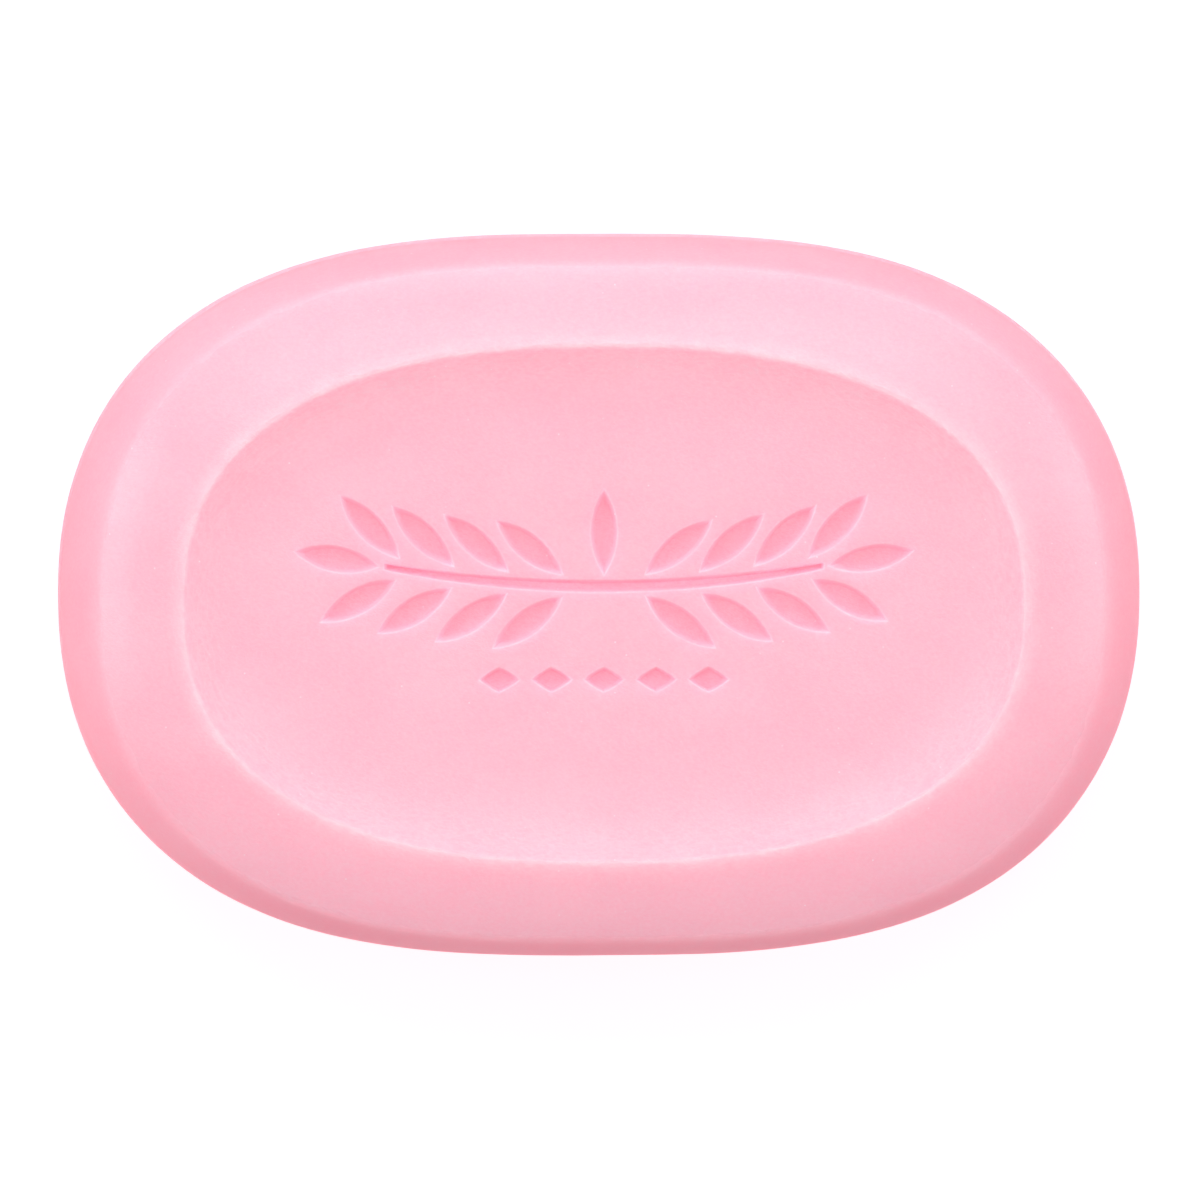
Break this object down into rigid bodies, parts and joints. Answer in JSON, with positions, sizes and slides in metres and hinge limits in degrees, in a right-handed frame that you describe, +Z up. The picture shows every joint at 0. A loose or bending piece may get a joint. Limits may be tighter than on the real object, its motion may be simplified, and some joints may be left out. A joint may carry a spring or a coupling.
{
  "type": "bar of soap",
  "caption": "Oval pressed bar of toilet soap with rounded sides, sloping bands and a shallow engraved dish in its face.",
  "frame": {"origin": "centre of the underside's bounding rectangle, on the surface the bar lies on", "axes": "+X along the bar's length, +Y across it towards the top of its engraving, +Z up out of the engraved face"},
  "size_m": [0.088, 0.0588, 0.025],
  "materials": {
    "soap": "satin"
  },
  "bodies": {
    "root": {"soap_bar": "soap"}
  },
  "joints": []
}
